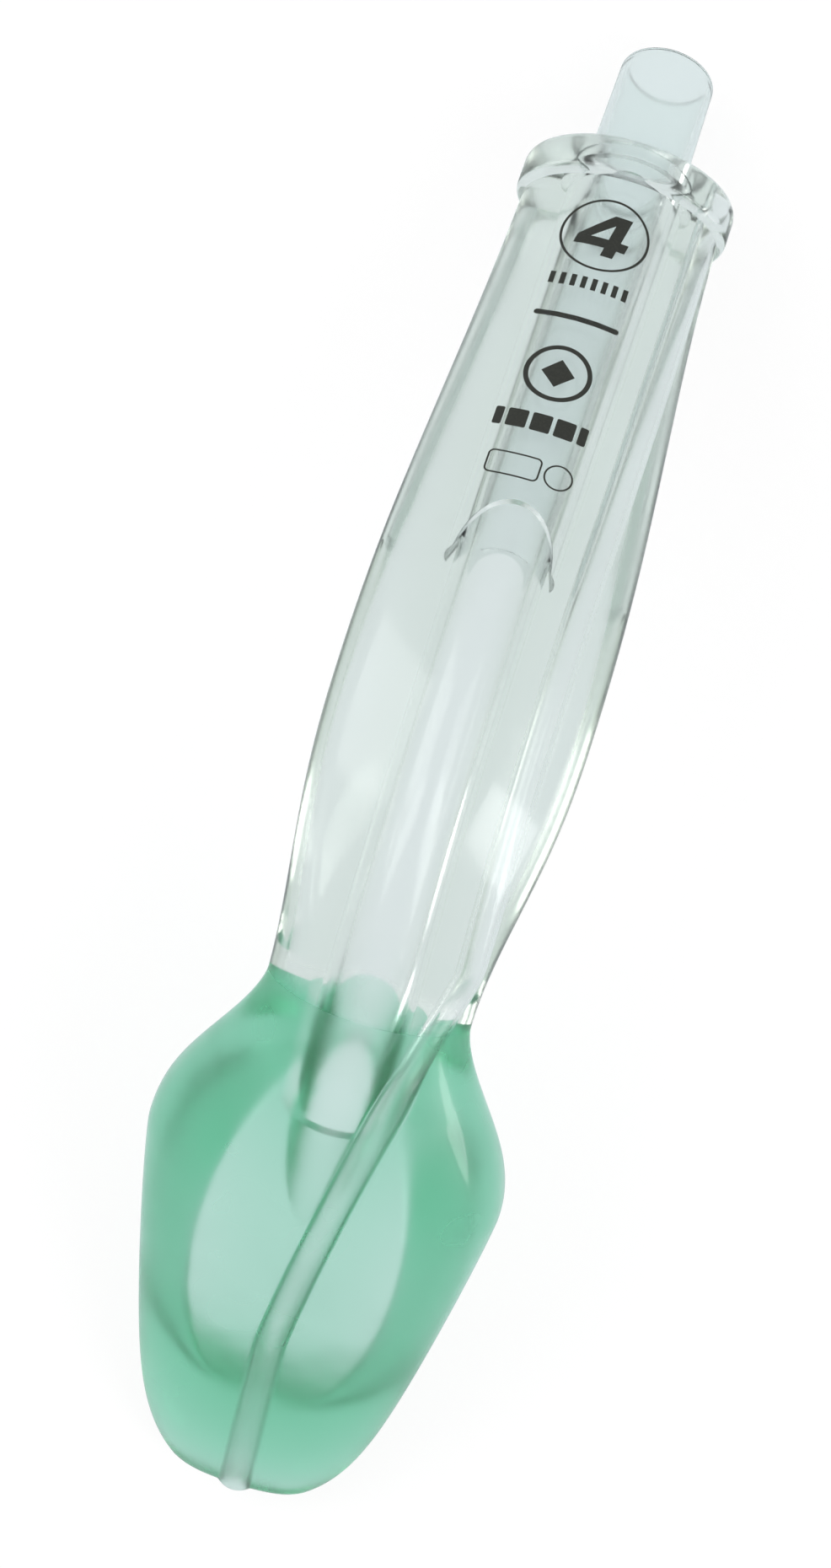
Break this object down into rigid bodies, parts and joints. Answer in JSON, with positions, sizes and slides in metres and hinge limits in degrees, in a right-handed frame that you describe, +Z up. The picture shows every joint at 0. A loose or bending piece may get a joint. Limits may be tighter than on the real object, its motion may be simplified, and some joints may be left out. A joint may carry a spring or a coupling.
{
  "type": "laryngeal mask airway",
  "caption": "Curved clear airway tube with a rigid 15 mm connector and inner bite block, an oval collar, a side gastric channel and a soft green bowl-shaped cuff.",
  "frame": {"origin": "middle of the bounding box on the surface that the airway rests on", "axes": "+X towards the gastric channel's side, +Y towards the connector, -Y towards the cuff's tip, +Z up out of the airway's back"},
  "size_m": [0.0548, 0.2364, 0.0689],
  "materials": {
    "connector": "milky translucent polypropylene, smooth",
    "airway_body": "clear soft elastomer, glossy, faint grey-green",
    "cuff": "translucent mint green gel, satin"
  },
  "bodies": {
    "root": {"connector": "connector", "airway_body": "airway_body", "cuff": "cuff"}
  },
  "joints": []
}
